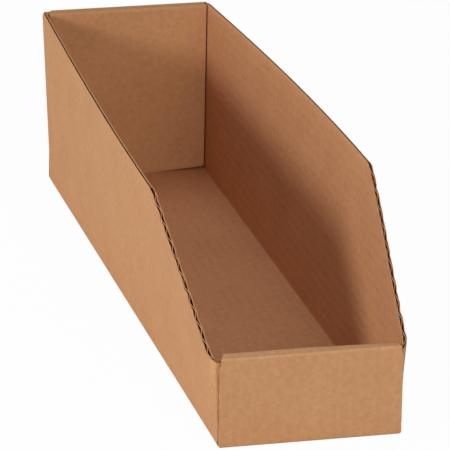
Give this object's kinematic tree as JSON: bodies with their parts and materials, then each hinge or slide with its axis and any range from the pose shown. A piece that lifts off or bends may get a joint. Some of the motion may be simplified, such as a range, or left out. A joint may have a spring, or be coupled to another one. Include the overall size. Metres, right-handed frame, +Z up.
{
  "type": "open cardboard box",
  "caption": "Open-top corrugated shelf bin with sloping front wall edges, a low rolled front lip and a rolled back wall",
  "frame": {"origin": "on the surface the box stands on, under the middle of its floor panel", "axes": "+Z up, +Y from the low front lip to the tall back wall, +X to the right wall as seen from the front"},
  "size_m": [0.1401, 0.4764, 0.1173],
  "materials": {
    "kraft_board": "matt natural kraft liner, brown, with cut edges that show the fluting"
  },
  "bodies": {
    "root": {"bin_box": "kraft_board"}
  },
  "joints": []
}
